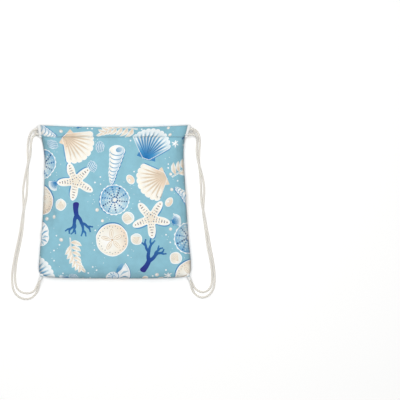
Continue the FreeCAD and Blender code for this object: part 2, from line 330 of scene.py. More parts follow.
# The same corner points as the CAD routes, in millimetres, from the tab to the casing. Those with two
# numbers lie on the floor, and FLOOR is their height.
FLOOR = 2.6
OVER = 8.2                  # where one strand rests on the other
ROUTES = {
    ("left", "outer"): (
        (-190.2, -204.5, 12.0), (-193.0, -218.5, 5.4), (-199.0, -229.0), (-209.5, -238.5),
        (-224.5, -241.5), (-241.0, -236.0), (-252.5, -223.0), (-257.5, -205.0), (-257.8, -178.0),
        (-253.0, -147.5), (-247.5, -119.0), (-240.5, -89.5), (-235.8, -62.0), (-232.2, -40.0, 4.2),
        (-229.3, -23.5, OVER), (-225.2, -3.5, OVER), (-221.6, 13.5, 4.2), (-219.6, 38.0),
        (-219.0, 67.0), (-217.6, 98.0), (-218.8, 129.0), (-218.0, 149.5, 3.6), (-214.0, 166.0, 8.5),
        (-206.5, 178.5, 15.0),
    ),
    ("left", "inner"): (
        (-193.6, -204.0, 6.2), (-200.0, -217.6), (-209.5, -224.6), (-221.5, -226.8), (-235.0, -223.4),
        (-245.5, -214.0), (-250.0, -198.0), (-250.0, -172.0), (-246.2, -143.0), (-240.2, -114.5),
        (-233.6, -85.0), (-230.4, -55.0), (-228.2, -26.0), (-229.4, 4.0), (-230.6, 31.0),
        (-226.8, 57.5), (-222.6, 76.0, 4.2), (-218.9, 91.0, OVER), (-214.2, 110.0, OVER),
        (-210.6, 128.0, 4.2), (-210.6, 145.0), (-209.0, 157.5, 3.0), (-204.8, 166.2, 4.4),
    ),
    ("right", "outer"): (
        (189.8, -204.0, 12.0), (192.0, -216.5, 5.4), (198.0, -226.5), (207.5, -234.6), (220.5, -237.2),
        (233.6, -231.6), (243.8, -219.6), (248.6, -203.0), (248.4, -177.0), (245.0, -147.0),
        (239.0, -118.5), (234.2, -91.0), (229.0, -64.0), (224.6, -43.0, 4.2), (221.2, -26.0, OVER),
        (217.0, -5.5, OVER), (215.0, 13.5, 4.2), (214.2, 38.0), (212.6, 67.0), (209.2, 98.0),
        (209.8, 128.0), (211.8, 147.0), (210.8, 164.0, 2.8), (206.0, 177.4, 4.0),
    ),
    ("right", "inner"): (
        (192.8, -202.5, 6.2), (198.8, -213.5), (207.6, -220.4), (219.0, -223.8), (230.5, -220.4),
        (239.6, -210.0), (242.6, -194.5), (241.8, -169.0), (237.6, -141.0), (231.2, -113.0),
        (227.6, -84.0), (224.0, -55.5), (219.6, -27.0), (220.6, 3.0), (223.2, 31.0), (220.2, 57.5),
        (214.8, 75.5, 4.2), (210.6, 90.0, OVER), (206.2, 109.0, OVER), (203.6, 127.0, 4.2),
        (203.8, 142.5, 3.6), (205.2, 154.5, 6.8), (205.2, 164.0, 13.4),
    ),
}
STRAND_Y = (170.5, 184.0)   # the two strands side by side in a casing
TAB_ROOT = (180.5, -176.5)
TAB_TIP = (187.1, -192.5)
TAB_TIER = 2.7              # how far above and below the middle the two strands leave a tab
TAB_GRIP = 8.0              # how much of each is inside it
ENTRY_SET = 6.5             # how far outside the hem a cord turns in
BIGHT_SET = 2.5             # how far inside the hem its turn round the casings begins
CORD_STEP = 1.1             # between the rings of the cord's mesh
CORD_SIDES = 24
CORD_PITCH = 21.0           # one full turn of the three strands
CORD_ENDS = {"left": -1, "right": 1}


def tab_points(side, tier):
    """A cord's end inside the tab's sleeve and its first corner outside."""
    tip = Vector((side * TAB_TIP[0], TAB_TIP[1], SEAM_Z))
    along = (tip - Vector((side * TAB_ROOT[0], TAB_ROOT[1], SEAM_Z))).normalized()
    rise = Vector((0, 0, tier))
    return [tip - along * TAB_GRIP + rise, tip + along * 3.0 + rise]


def bight(side, first, last):
    """Corners of the turn from one casing to the other, beyond the far hem."""
    step = last - first
    across = step.length
    step.normalize()
    radius = across / 2
    cut = radius * math.tan(math.pi / 8)
    start = HEM_HIGH[0] - BIGHT_SET
    places = ((cut, 0), (radius, radius - cut), (radius, radius + cut), (cut, across))
    return [first + step * s + Vector((side * (start + x), 0, 0)) for x, s in places]


def route(name):
    """All corners of one cord. The straight stretch in each casing has a corner near both its ends."""
    side = CORD_ENDS[name]
    low_y, high_y = STRAND_Y
    tier = ("front", "back") if name == "left" else ("back", "front")
    lines = [Vector((0, high_y, TUNNEL_Z[tier[0]])), Vector((0, low_y, TUNNEL_Z[tier[1]]))]
    entry = side * (HEM_HIGH[0] + ENTRY_SET)
    turn = bight(-side, lines[0], lines[1])
    near_bend = side * 12.0
    near_turn = side * 8.2
    outer = [Vector((*p, FLOOR)[:3]) for p in ROUTES[name, "outer"]]
    inner = [Vector((*p, FLOOR)[:3]) for p in ROUTES[name, "inner"]]
    up = tab_points(side, TAB_TIER) + outer
    down = inner[::-1] + tab_points(side, -TAB_TIER)[::-1]
    first = [lines[0] + Vector((x, 0, 0)) for x in (entry, entry - near_bend, turn[0].x + near_turn)]
    second = [lines[1] + Vector((x, 0, 0)) for x in (turn[3].x + near_turn, entry - near_bend, entry)]
    return up + first + turn + second + down


def spline_points(name, corners):
    """Points along a smooth NURBS line with those corners as its control points."""
    curve = bpy.data.curves.new(name + "_line", "CURVE")
    curve.dimensions = "3D"
    curve.resolution_u = 14
    spline = curve.splines.new("NURBS")
    spline.points.add(len(corners) - 1)
    for point, corner in zip(spline.points, corners):
        point.co = (*(corner * MM), 1)
    spline.order_u = 3
    spline.use_endpoint_u = True
    holder = bpy.data.objects.new(name + "_line", curve)
    mesh = bpy.data.meshes.new_from_object(holder)
    points = np.array([v.co for v in mesh.vertices])
    bpy.data.objects.remove(holder)
    bpy.data.meshes.remove(mesh)
    return points


def evenly(points, spacing):
    """The same line with its points a fixed distance apart."""
    steps = np.linalg.norm(np.diff(points, axis=0), axis=1)
    along = np.concatenate([[0], np.cumsum(steps)])
    keep = np.concatenate([[True], steps > 1e-9])
    count = int(along[-1] / spacing)
    places = np.linspace(0, along[-1], count + 1)
    line = np.stack([np.interp(places, along[keep], points[keep, k]) for k in range(3)], axis=1)
    return line, places


def make_cord(name, material):
    """A cotton cord laid up from three strands, as one closed tube."""
    line, places = evenly(spline_points(name, route(name)), CORD_STEP * MM)
    tangent = np.gradient(line, axis=0)
    tangent /= np.linalg.norm(tangent, axis=1)[:, None]
    normals = [np.array([0.0, 0.0, 1.0])]
    for t in tangent:
        kept = normals[-1] - t * (normals[-1] @ t)
        normals.append(kept / np.linalg.norm(kept))
    normal = np.array(normals[1:])
    binormal = np.cross(tangent, normal)
    angle = np.linspace(0, 2 * np.pi, CORD_SIDES, endpoint=False)[None, :]
    lay = angle - 2 * np.pi * places[:, None] / (CORD_PITCH * MM)
    lobe = np.abs(np.cos(1.5 * lay))
    radius = CORD_D / 2 * MM * (0.83 + 0.21 * lobe ** 0.7)
    slub = 1 + 0.02 * np.sin(places * 310) * np.sin(places * 97)
    radius = radius * slub[:, None]
    ring = normal[:, None, :] * np.cos(angle)[..., None] + binormal[:, None, :] * np.sin(angle)[..., None]
    verts = (line[:, None, :] + ring * radius[..., None]).reshape(-1, 3)
    verts[:, 2] = np.maximum(verts[:, 2], 0.05 * MM)
    turns = np.broadcast_to(lay, radius.shape).ravel()
    flat = np.stack([turns * CORD_D / 2, np.repeat(places / MM, CORD_SIDES), np.cos(turns) * 3], axis=1)
    mesh = flat_mesh(name, verts / MM, tube_faces(len(line), CORD_SIDES, 0), flat)
    # how high the strands stand at each point; the cord's material paints shade in the grooves from it
    set_attribute(mesh, "groove", "FLOAT", "POINT", lobe.ravel())
    cord = new_piece(f"{name}_cord", mesh, [material])
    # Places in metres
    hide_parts(f"{name}_drawstring")
    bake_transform(cord)
    return cord


# ---------------------------------------------------------------- mesh helpers

def set_attribute(mesh, name, kind, domain, values):
    attribute = mesh.attributes.new(name, kind, domain)
    field = "vector" if kind == "FLOAT_VECTOR" else "color" if kind == "FLOAT_COLOR" else "value"
    attribute.data.foreach_set(field, np.asarray(values, np.float32).ravel())


def new_piece(name, mesh, materials):
    piece = bpy.data.objects.new(name, mesh)
    bpy.context.scene.collection.objects.link(piece)
    for material in materials:
        mesh.materials.append(material)
    mesh.polygons.foreach_set("use_smooth", [True] * len(mesh.polygons))
    return piece


def sewn_piece(name, kind, mesh, materials):
    """A piece that moves with the bag and stands for a CAD node of that name."""
    piece = new_piece(f"{name}_{kind}", mesh, materials)
    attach(piece, "bag")
    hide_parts(name)
    return piece


def thicken(piece, thickness, offset=-1.0, reverse_material=0):
    """Gives a cloth piece its thickness and a closed edge."""
    solid = piece.modifiers.new("thickness", "SOLIDIFY")
    solid.thickness = thickness * MM
    solid.offset = offset
    solid.use_even_offset = False
    solid.material_offset = reverse_material
    return piece


def grid_faces(rows, columns, closed, first):
    """Quads between the rows of a grid of vertices; closed joins the last column to the first."""
    faces = []
    for i in range(rows - 1):
        here, above = first + i * columns, first + (i + 1) * columns
        for j in range(columns if closed else columns - 1):
            k = (j + 1) % columns
            faces.append((here + j, here + k, above + k, above + j))
    return faces


def tube_faces(rows, sides, first):
    """The faces of a tube of rings, with both its ends closed."""
    last = first + (rows - 1) * sides
    ends = [tuple(range(first, first + sides))[::-1], tuple(range(last, last + sides))]
    return grid_faces(rows, sides, True, first) + ends


def flat_mesh(name, points, faces, flat):
    """A mesh from points in millimetres, with each point's place on the flat material."""
    mesh = bpy.data.meshes.new(name)
    mesh.from_pydata((np.asarray(points).reshape(-1, 3) * MM).tolist(), [], faces)
    set_attribute(mesh, "flat", "FLOAT_VECTOR", "POINT", flat)
    return mesh


def flat_rows(across, along):
    """Places on the flat material for a grid of points, one row for each value of across."""
    across, along = np.meshgrid(across, along, indexing="ij")
    return np.stack([across, along, np.zeros(across.shape)], -1)


def catmull(grid, s, t):
    """Smoothly reads a rows x columns x 3 grid at rows t and columns s, both in cells."""
    rows, columns = grid.shape[:2]

    def weights(f):
        return (
            ((-0.5 * f + 1.0) * f - 0.5) * f,
            (1.5 * f - 2.5) * f * f + 1.0,
            ((-1.5 * f + 2.0) * f + 0.5) * f,
            (0.5 * f - 0.5) * f * f,
        )

    s = np.clip(s, 0, columns - 1)
    t = np.clip(t, 0, rows - 1)
    i0 = np.minimum(s.astype(int), columns - 2)
    j0 = np.minimum(t.astype(int), rows - 2)
    ws, wt = weights(s - i0), weights(t - j0)
    padded = np.pad(grid, ((1, 1), (1, 1), (0, 0)), mode="reflect", reflect_type="odd")
    result = 0
    for b in range(4):
        for a in range(4):
            result = result + padded[j0 + b, i0 + a] * (ws[a] * wt[b])[..., None]
    return result


# ---------------------------------------------------------------- the filled bag's cloth

def ease(t):
    t = np.clip(t, 0.0, 1.0)
    return t * t * (3 - 2 * t)


def cut_half(y):
    """Half width of the flat pattern at a height y."""
    y = np.asarray(y, float)
    width = CUT_HALF - CUT_TAPER * np.clip((y + 50) / (FOLD_Y + 50), 0, 1)
    into_corner = np.clip(CUT_LOW + CUT_CORNER - y, 0, CUT_CORNER)
    return width - (CUT_CORNER - np.sqrt(CUT_CORNER ** 2 - into_corner ** 2))


def flat_grid():
    """The pattern's grid points, rows from the bottom to the casing."""
    y = np.linspace(CUT_LOW, FOLD_Y, GRID + 1)
    u = np.linspace(-1, 1, GRID + 1)
    return np.stack([u[None, :] * cut_half(y)[:, None], np.repeat(y[:, None], GRID + 1, 1)], axis=-1)


def simulated_bag(flat):
    """Blender's cloth blows up the two panels, sewn together at the sides and the bottom."""
    size = GRID + 1
    front = np.arange(size * size).reshape(size, size)
    back = front.copy()
    inner = back[1:, 1:-1]
    inner[:] = size * size + np.arange(inner.size).reshape(inner.shape)
    lift = np.zeros((size, size))
    lift[1:, 1:-1] = 2.0 + 6.0 * np.arange(1, size)[:, None] / GRID
    upper, lower = np.dstack([flat, lift]), np.dstack([flat, -lift])[1:, 1:-1]
    verts = np.vstack([upper.reshape(-1, 3), lower.reshape(-1, 3)]) * MM
    faces = grid_faces(size, size, False, 0)
    faces += [tuple(back.ravel()[list(face[::-1])].tolist()) for face in faces]
    mesh = bpy.data.meshes.new("pillow")
    mesh.from_pydata(verts.tolist(), [], faces)
    pillow = bpy.data.objects.new("pillow", mesh)
    bpy.context.scene.collection.objects.link(pillow)
    group = pillow.vertex_groups.new(name="mouth")
    group.add(np.concatenate([front[-1], back[-1]]).tolist(), 1.0, "REPLACE")
    modifier = pillow.modifiers.new("cloth", "CLOTH")
    cloth = modifier.settings
    cloth.quality = 8
    cloth.mass = 0.05
    cloth.tension_stiffness = cloth.compression_stiffness = 15
    cloth.shear_stiffness = 7
    cloth.bending_stiffness = 0.5
    cloth.air_damping = 2
    cloth.use_pressure = True
    cloth.uniform_pressure_force = 1.35
    cloth.vertex_group_mass = "mouth"
    cloth.effector_weights.gravity = 0
    frames = 32
    modifier.point_cache.frame_end = frames
    for f in range(1, frames + 1):
        bpy.context.scene.frame_set(f)
    blown = bpy.data.meshes.new_from_object(pillow.evaluated_get(bpy.context.evaluated_depsgraph_get()))
    places = np.array([v.co for v in blown.vertices]) / MM
    bpy.data.objects.remove(pillow)
    bpy.context.scene.frame_set(1)
    return places[front], places[back]


def seam_places(side_line, y):
    """X of a side seam at heights y, rounded between its given points."""
    heights, places = np.array(side_line).T
    line = smooth_line(np.stack([heights, places], 1), 60)
    return np.interp(y, line[:, 0], line[:, 1])


def settled_bag():
    """Both panels' grids in place: the front crowned, the back pressed flat on the surface."""
    flat = flat_grid()
    front, back = simulated_bag(flat)
    widest = np.abs(front[..., 0]).max()
    crown = front[..., 2].max()
    share = np.linspace(-1, 1, GRID + 1)
    bottom = FOOT_Y + 0.3 + BOTTOM_ROUND * share ** 4
    for sheet in (front, back):
        sheet[..., 1] = FOLD_Y + (sheet[..., 1] - FOLD_Y) * (FOLD_Y - bottom) / (FOLD_Y - sheet[0, :, 1])
        for row in sheet:
            ends = []
            for end, side_line in ((0, LEFT_SIDE), (-1, RIGHT_SIDE)):
                traced = seam_places(side_line, row[end, 1])
                round_corner = row[end, 0] * FOOT_HALF / widest
                follow = ease((row[end, 1] - SIDES_FROM) / SIDES_FADE)
                ends.append(round_corner + (traced - round_corner) * follow)
            share = (row[:, 0] - row[0, 0]) / (row[-1, 0] - row[0, 0])
            row[:, 0] = ends[0] + share * (ends[1] - ends[0])
    front[..., 2] = SEAM_Z + front[..., 2] * (CROWN - 0.5) / crown
    drop = SEAM_Z - CLOTH - 0.2
    depth = -back[..., 2]
    back[..., 2] = SEAM_Z - np.sign(depth) * drop * (1 - np.exp(-np.abs(depth) / (0.55 * drop)))
    return front, back


class Sheet:
    """A piece of cloth: where each point of its flat pattern lies in space."""

    def __init__(self, grid, to_cells):
        self.grid = grid
        self.to_cells = to_cells

    def at(self, x, y):
        s, t = self.to_cells(np.asarray(x, float), np.asarray(y, float))
        return catmull(self.grid, s, t)


def panel_cells(x, y):
    t = (y - CUT_LOW) / (FOLD_Y - CUT_LOW) * GRID
    s = (x / np.maximum(cut_half(y), 1.0) + 1) / 2 * GRID
    return s, t


# ---------------------------------------------------------------- casings

CASING_CELLS = 96
CASING_ROUND = 40
CASING_HALF = CASING_HIGH[0]
CASING_HEIGHT = 7.2
CASING_DENT = 0.9           # how far the walls sink between the two strands
# Each end of a casing: half width at the seam, how much more at the fold, and the curve between them
LEFT_END = (183.6, 3.6, 1.0)
RIGHT_END = (174.6, 8.8, 0.8)


def casing_profile(width, height, sag):
    """One section of a casing, from its lower edge over the fold and back: y, z and the length."""
    angle = np.linspace(0, 2 * np.pi, 8 * CASING_ROUND + 1)
    y = -np.cos(angle)
    z = np.sin(angle)
    y = np.sign(y) * np.abs(y) ** 0.62 * width / 2
    z = np.sign(z) * np.abs(z) ** 0.8 * height / 2
    z = z + sag * np.cos(2 * np.pi * y / width) * np.sign(np.sin(angle) + 1e-9) * 0.35
    length = np.concatenate([[0], np.cumsum(np.hypot(np.diff(y), np.diff(z)))])
    even = np.linspace(0, length[-1], CASING_ROUND + 1)
    return np.interp(even, length, y), np.interp(even, length, z), length[-1]


def make_casing_sheet(which, panel):
    """A casing's grid, rows round the section and columns along X, joined to the top edge of its panel."""
    outward = 1 if which == "front" else -1
    u = np.linspace(-1, 1, CASING_CELLS + 1)
    edge = panel.at(u * cut_half(FOLD_Y), np.full_like(u, FOLD_Y))
    grid = np.zeros((CASING_ROUND + 1, CASING_CELLS + 1, 3))
    length = 0
    for i, share in enumerate(u):
        fold = MOUTH_Y - 0.3 - MOUTH_SAG * (1 - abs(share) ** 2.2)
        fold += 0.5 * noise.noise(Vector((share * 4, outward * 3.0, 1)))
        pucker = noise.noise(Vector((share * 16, outward * 5.0, 2)))
        low = edge[i, 1] - 0.3
        y, z, length = casing_profile(fold - low, CASING_HEIGHT + 0.5 * pucker, CASING_DENT)
        grid[:, i, 1] = (fold + low) / 2 + y
        grid[:, i, 2] = TUNNEL_Z[which] + outward * z
        reach = (grid[:, i, 1] - low) / (MOUTH_Y - low)
        narrow, more, bend = LEFT_END if share < 0 else RIGHT_END
        grid[:, i, 0] = share * (narrow + more * np.clip(reach, 0, 1) ** bend)
        outer_wall = np.arange(CASING_ROUND + 1) < CASING_ROUND / 2
        hold = np.where(outer_wall, 1 - ease((grid[:, i, 1] - low) / 8.0), 0.0)
        grid[:, i, 2] += hold * (edge[i, 2] - grid[0, i, 2])
        grid[:, i, 0] += hold * (edge[i, 0] - grid[0, i, 0])

    def casing_cells(x, y):
        return (x / CASING_HALF + 1) / 2 * CASING_CELLS, (y - FOLD_Y) / length * CASING_ROUND

    return Sheet(grid, casing_cells), length


# ---------------------------------------------------------------- the print

GROUND = (141, 193, 210)
CREAM = (246, 242, 230)
PEACH = (236, 215, 192)
SAND = (220, 202, 178)
WHITE = (250, 252, 252)
MIST = (206, 229, 238)
PALE = (176, 211, 226)
SKY = (138, 188, 216)
MID = (66, 144, 196)
DEEP = (16, 108, 174)
NAVY = (34, 62, 120)
VIOLET = (44, 40, 132)
GREY = (120, 138, 158)
SHADOW = (84, 148, 194)

# Painted shade in the print's colours: darker along the side and bottom seams, and a little darker on the
# casings
SEAM_PAINTED_SHADE = 0.46
SEAM_REACH = 5.5            # over what distance the painted shade along a seam fades
CASING_PAINTED_SHADE = 0.07


def blend_colours(stops):
    """A colour function of a value from 0 to 1, from (position, colour) stops."""
    places = [p for p, _ in stops]
    colours = np.array([srgb(*c) for _, c in stops])
    return lambda value: np.stack([np.interp(value, places, colours[:, k]) for k in range(3)], axis=-1)


def radial(centre, radius, *stops):
    ramp = blend_colours(stops)
    return lambda p: ramp(np.linalg.norm(p - np.array(centre), axis=-1) / radius)


def linear(start, end, *stops):
    ramp = blend_colours(stops)
    a, d = np.array(start, float), np.array(end, float) - np.array(start, float)
    return lambda p: ramp(((p - a) @ d) / (d @ d))


def plain(colour):
    fixed = srgb(*colour)
    return lambda p: np.broadcast_to(fixed, p.shape[:-1] + (3,))


def polar(radius_of, count):
    """An outline round the origin from a radius that depends on the angle."""
    angle = np.linspace(0, 2 * math.pi, count, endpoint=False)
    radius = np.array([radius_of(a) for a in angle])
    return np.stack([np.cos(angle), np.sin(angle)], 1) * radius[:, None]


def ellipse(centre, rx, ry, turn=0.0, count=20):
    a = np.linspace(0, 2 * math.pi, count, endpoint=False)
    x, y = rx * np.cos(a), ry * np.sin(a)
    c, s = math.cos(turn), math.sin(turn)
    return np.array(centre) + np.stack([x * c - y * s, x * s + y * c], 1)


def smooth_line(points, count):
    """A line through a few points, rounded, with count points."""
    points = np.array(points, float)
    padded = np.vstack([2 * points[0] - points[1], points, 2 * points[-1] - points[-2]])
    places = np.linspace(0, len(points) - 1, count)
    i = np.minimum(places.astype(int), len(points) - 2)
    f = (places - i)[:, None]
    a, b, c, d = padded[i], padded[i + 1], padded[i + 2], padded[i + 3]
    square, cube = 2 * a - 5 * b + 4 * c - d, 3 * b - a - 3 * c + d
    return 0.5 * (2 * b + (c - a) * f + square * f ** 2 + cube * f ** 3)


def stroke(points, widths, count):
    """A brush stroke along a rounded line, its width changing from point to point."""
    line = smooth_line(points, count)
    width = np.interp(np.linspace(0, 1, count), np.linspace(0, 1, len(widths)), widths) / 2
    tangent = np.gradient(line, axis=0)
    tangent /= np.maximum(np.linalg.norm(tangent, axis=1)[:, None], 1e-9)
    normal = np.stack([-tangent[:, 1], tangent[:, 0]], 1)
    return np.vstack([line + normal * width[:, None], (line - normal * width[:, None])[::-1]])


def wobble(seed, amount):
    return lambda a: 1 + amount * noise.noise(Vector((math.cos(a) * 1.6, math.sin(a) * 1.6, seed * 7.3)))


def dots(places, size, colour, seed):
    """Small round spots of slightly different sizes."""
    rnd = random.Random(seed)
    sizes = [(size * rnd.uniform(0.7, 1.25), size * rnd.uniform(0.7, 1.2)) for _ in places]
    return [(ellipse(p, wide, high, 0, 9), plain(colour)) for p, (wide, high) in zip(places, sizes)]


def placed(shapes, centre, degrees, size):
    """A motif's shapes and colours, moved from round the origin to a place in the pattern."""
    a = math.radians(degrees)
    spin = np.array([[math.cos(a), math.sin(a)], [-math.sin(a), math.cos(a)]])
    centre = np.array(centre, float)

    def moved(colour):
        return lambda p: colour((p - centre) @ spin.T / size)

    return [(centre + np.asarray(line, float) @ spin * size, moved(colour)) for line, colour in shapes]


def direction(a):
    return np.array([math.cos(a), math.sin(a)])


def scallop(ribs, body, groove, light, ear):
    """A fan shell: ribs that spread from a hinge to a rim with one bump for each rib."""
    reach, half = 72.0, math.radians(52)
    hinge = np.array([0.0, -34.0])
    pitch = 2 * half / ribs

    def ray(a, share):
        bump = abs(math.sin((a / half + 1) / 2 * math.pi * ribs)) ** 0.5
        far = reach * (1 - 0.15 * (a / half) ** 2) * (0.95 + 0.05 * bump)
        return hinge + far * share * np.array([math.sin(a), math.cos(a)])

    def blade(a, width, inner, waist, outer):
        return np.array([ray(a, inner), ray(a + width, waist), ray(a, outer), ray(a - width, waist)])

    rim = [ray(a, 1) for a in np.linspace(-half, half, ribs * 8 + 1)]
    fan = np.array(rim + [hinge + (8, -3), hinge + (-8, -3)])
    shapes = [(fan + (2.4, -2.4), plain(SHADOW))]
    for side in (-1, 1):
        wing = hinge + np.array([(3 * side, -4), (23 * side, -3), (20 * side, 8), (12 * side, 13)])
        shapes.append((wing, plain(ear)))
    shapes += [(fan * 1.03, plain(WHITE)), (fan, radial(hinge, reach, *body))]
    for i in range(ribs):
        edge = -half + pitch * i
        if i:
            shapes.append((blade(edge, pitch * 0.22, 0.1, 0.66, 0.97), radial(hinge, reach, *groove)))
        crest = blade(edge + pitch / 2, pitch * 0.15, 0.34, 0.8, 0.95)
        shapes.append((crest, radial(hinge, reach, *light)))
    return shapes


def blue_scallop():
    body = ((0, DEEP), (0.25, MID), (0.5, SKY), (0.75, MIST), (1, WHITE))
    groove = ((0, (8, 92, 160)), (0.4, (24, 112, 178)), (0.7, (104, 164, 202)), (1, (180, 208, 224)))
    return scallop(11, body, groove, ((0.3, SKY), (0.6, WHITE), (1, WHITE)), (64, 134, 190))


def cream_scallop():
    body = ((0, SAND), (0.3, PEACH), (0.6, CREAM), (1, (252, 247, 236)))
    groove = ((0, (200, 176, 150)), (0.5, SAND), (1, (240, 226, 206)))
    return scallop(9, body, groove, ((0.3, CREAM), (1, WHITE)), PEACH)


def starfish():
    def arms(extra):
        return polar(lambda a: 14 + extra + 28 * abs(math.cos(2.5 * a)) ** 2.3, count=100)

    body = radial((0, 0), 42, (0, (238, 228, 210)), (0.4, CREAM), (1, (250, 248, 241)))
    shapes = [(arms(0) + (2.6, -2.8), plain(SHADOW)), (arms(1.8), plain(WHITE)), (arms(0), body)]
    for k in range(5):
        a = 2 * math.pi / 5 * k
        along, across = direction(a), direction(a + math.pi / 2)
        places = [(f, side * (44 - f) * 0.13) for f in range(7, 38, 6) for side in (-1, 0, 1)]
        spots = [along * far + across * aside for far, aside in places]
        shapes += dots(spots[::2], 1.4, GREY, k) + dots(spots[1::2], 1.1, (176, 138, 112), k + 5)
    return shapes


def nautilus():
    def whorl(a, share=1.0):
        return 12 * math.exp(0.2 * a) * share * direction(a)

    outline = np.array([whorl(a) for a in np.linspace(0, 2 * math.pi, 64)])
    tint = radial((0, 0), 42, (0, (206, 224, 236)), (0.5, WHITE), (0.8, WHITE), (1, (204, 224, 236)))
    shapes = [(outline + (2.4, -2.6), plain(SHADOW)), (outline * 1.05, plain(WHITE)), (outline, tint)]
    for k in range(11):
        a = 0.6 + 0.5 * k
        line = [whorl(a, 0.4), whorl(a + 0.25, 0.7), whorl(a + 0.2, 0.97)]
        tone = (128, 178, 208) if k % 2 else (172, 206, 224)
        shapes.append((stroke(line, (0.8, 3.0 + 0.25 * k, 1.4), 10), plain(tone)))
    coil = [whorl(a) for a in np.linspace(-7, 0.5, 24)]
    shapes.append((stroke(coil, (0.8, 2.4, 2.4, 1.0), 60), plain((112, 164, 200))))
    shapes.append((ellipse((27.5, 3.5), 13.5, 5, 0.05, 24), linear((14, 0), (41, 0), (0, MID), (1, SKY))))
    return shapes


def coral(seed):
    """A branching coral: every limb ends in two thinner ones."""
    rnd = random.Random(seed)
    shade = linear((0, -44), (0, 40), (0, VIOLET), (0.35, (28, 66, 146)), (1, (52, 122, 176)))
    shapes = [(ellipse((0, -40), 7.5, 5, 0, 20), shade)]

    def grow(root, a, length, width, depth):
        tip = root + length * direction(a)
        bend = (root + tip) / 2 + direction(a + math.pi / 2) * rnd.uniform(-2.5, 2.5)
        widths = (width, width * 0.8, width * (0.72 if depth else 0.5))
        shapes.append((stroke([root, bend, tip], widths, 10), shade))
        shapes.append((ellipse(tip, width * 0.36, width * 0.36, 0, 12), shade))
        if depth:
            for side in (-1, 1):
                fork, shorter = rnd.uniform(0.3, 0.62), rnd.uniform(0.66, 0.86)
                grow(tip, a + side * fork, length * shorter, width * 0.72, depth - 1)

    grow(np.array([0.0, -40.0]), math.pi / 2, 27, 15, 3)
    return shapes


def leaf(root, tip, width):
    side = direction(math.atan2(*(tip - root)[::-1]) + math.pi / 2) * np.linalg.norm(tip - root) * 0.1
    line = [root, root + (tip - root) * 0.35 + side, root + (tip - root) * 0.7 + side * 0.8, tip]
    tint = linear(root, tip, (0, (238, 208, 180)), (0.55, CREAM), (1, (232, 226, 212)))
    return [(stroke(line, (1.5, width + 2.4, width + 1.2, 0.8), 12), plain(WHITE)),
            (stroke(line, (0.6, width, width * 0.75, 0.3), 12), tint),
            (stroke(line, (0.4, 1.1, 0.8, 0.2), 8), plain(SAND))]


def sprig():
    """A stem with pairs of leaves that get smaller."""
    stem = [(-7, -46), (2, -20), (4, 8), (-2, 30)]
    line = smooth_line(stem, 15)
    shapes = leaf(line[-1], line[-1] + (-4, 15), 7)
    for k in range(1, 7):
        for side in (-1, 1):
            root = line[2 * k + (side > 0)]
            tip = root + (30 - 2.4 * k) * direction(math.pi / 2 - side * (0.98 - 0.07 * k))
            shapes += leaf(root, tip, 10.5 - 0.7 * k)
    shapes.append((stroke(stem, (3.4, 3.2, 2.6, 1.0), 26), plain(WHITE)))
    shapes.append((stroke(stem, (0.8, 1.4, 1.0, 0.4), 22), plain((170, 190, 186))))
    return shapes


def sand_dollar():
    def rim(r):
        return polar(lambda a: r * wobble(3, 0.04)(a), count=60)

    tint = radial((7, 8), 46, (0, WHITE), (0.55, CREAM), (1, PEACH))
    shapes = [(rim(36) + (2.4, -2.6), plain((64, 130, 182))), (rim(36.5), plain(WHITE)), (rim(34.5), tint)]
    for k in range(5):
        a = math.pi / 2 + 2 * math.pi / 5 * k
        for wide, high, colour in ((10.5, 4.6, SAND), (9.2, 3.4, (250, 244, 232)), (6.5, 0.9, SAND)):
            shapes.append((ellipse(direction(a) * 14, wide, high, a, 26), plain(colour)))
    ring = [direction(2 * math.pi / 30 * k) * (28.5 if k % 2 else 31) for k in range(30)]
    return shapes + dots(ring, 1.1, GREY, 5) + [(ellipse((0, 0), 2.6, 2.6), plain((206, 180, 152)))]


def auger():
    """A long pointed shell, one oval for each whorl."""
    whorls = []
    for k in range(9):
        share = k / 8
        whorls.append(((0.0, -42 + 70 * share ** 1.25), 3 + 14 * share, 4 + 7 * share))
    shapes = []
    for more, shift, colour in ((1, (2.4, -2.2), SHADOW), (1.7, (0, 0), WHITE)):
        for centre, wide, high in whorls:
            shapes.append((ellipse(centre, wide + more, high + more, 0.2, 30) + shift, plain(colour)))
    for (x, y), wide, high in whorls:
        tint = linear((x - wide, y), (x + wide, y), (0, CREAM), (0.45, WHITE), (1, (188, 214, 230)))
        shapes.append((ellipse((x, y - 0.9), wide, high, 0.2, 30), plain((132, 178, 206))))
        shapes.append((ellipse((x, y + 0.9), wide * 0.98, high * 0.96, 0.2, 30), tint))
    inside = linear((0, 26), (8, 36), (0, (120, 170, 204)), (1, (178, 208, 226)))
    shapes.append((ellipse((4, 31), 7.5, 5.6, 0.5, 24), inside))
    return shapes


def urchin():
    """A round urchin with rows of dots from its middle."""
    shapes = [(ellipse((2.4, -2.6), 35, 34, 0, 60), plain(SHADOW))]
    shapes.append((polar(lambda a: 35.5 + 0.9 * math.sin(20 * a), count=120), plain(WHITE)))
    tint = radial((5, 7), 42, (0, (236, 242, 242)), (0.5, PALE), (1, (104, 166, 206)))
    shapes.append((ellipse((0, 0), 33.5, 33.5, 0, 60), tint))
    for k in range(10):
        row = [direction(2 * math.pi / 10 * (k + 0.04 * j)) * (7 + 5.6 * j) for j in range(5)]
        shapes += dots(row, 1.9, NAVY if k % 2 else (52, 112, 172), k)
        shapes += dots([direction(2 * math.pi / 10 * (k + 0.5)) * r for r in (14, 21, 28)], 1.2, CREAM, k)
    return shapes + [(ellipse((0, 0), 3.4, 3.4), plain(CREAM))]


def cockle():
    tint = linear((-13, 13), (13, -13), (0, (226, 220, 208)), (0.6, CREAM), (1, MIST))
    rim = polar(wobble(2, 0.08), count=30)
    shapes = [(rim * 15, plain(WHITE)), (rim * 13.2, tint)]
    for k in range(5):
        tip = 10.8 * direction(math.radians(42 + 24 * k))
        shapes.append((stroke([(0, -10), tip * (0.8, 0.2), tip], (0.4, 1.1, 0.7), 7), plain(SAND)))
    return shapes


